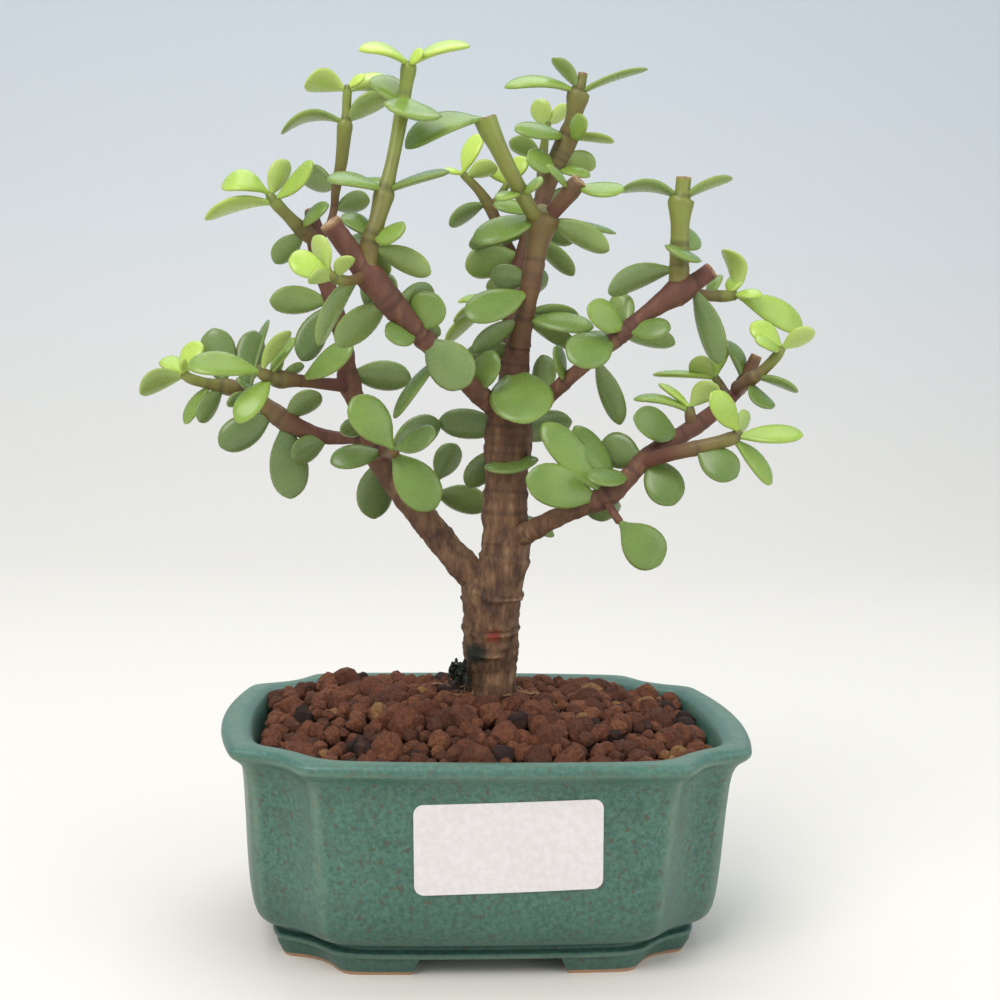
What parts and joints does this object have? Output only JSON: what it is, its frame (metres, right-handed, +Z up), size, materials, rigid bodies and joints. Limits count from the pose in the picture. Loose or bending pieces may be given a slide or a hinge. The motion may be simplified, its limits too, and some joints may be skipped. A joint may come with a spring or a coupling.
{
  "type": "potted bonsai",
  "caption": "Dwarf jade bonsai with a branching woody trunk and fleshy rounded leaves, in a green glazed pot with notched corners, feet and a granule bed.",
  "frame": {"origin": "centre of the whole part's box at the bottom of the pot's feet", "axes": "+Z up along the trunk, +X along the pot's length to the right as seen from the labelled front, +Y away from that front"},
  "size_m": [0.1622, 0.0966, 0.2169],
  "materials": {
    "green_glaze": "semi-gloss mottled green glaze on stoneware",
    "label_paper": "smooth white paper",
    "granules": "rough fired clay granules",
    "bark": "ringed, flaking bark",
    "leaves": "waxy fleshy leaves"
  },
  "bodies": {
    "root": {"back_leader": "leaves", "back_left_twig": "leaves", "back_shoot": "leaves", "back_twig_tip": "leaves", "drop_twig": "leaves", "granule_bed": "granules", "label": "label_paper", "leader": "leaves", "left_back_twig": "leaves", "left_fan": "leaves", "left_low": "bark", "left_mid": "leaves", "left_nub": "leaves", "left_reach": "leaves", "left_tuft": "leaves", "left_upper": "leaves", "left_whip": "leaves", "long_cut_shoot": "leaves", "mid_back_twig": "leaves", "pot": "green_glaze", "right_column": "leaves", "right_fork": "leaves", "right_low": "leaves", "right_mid_twig": "leaves", "right_tip": "leaves", "right_tuft": "leaves", "right_twig": "leaves", "right_upper": "leaves", "short_cut_shoot": "leaves", "tall_shoot": "leaves", "trunk": "bark"}
  },
  "joints": []
}
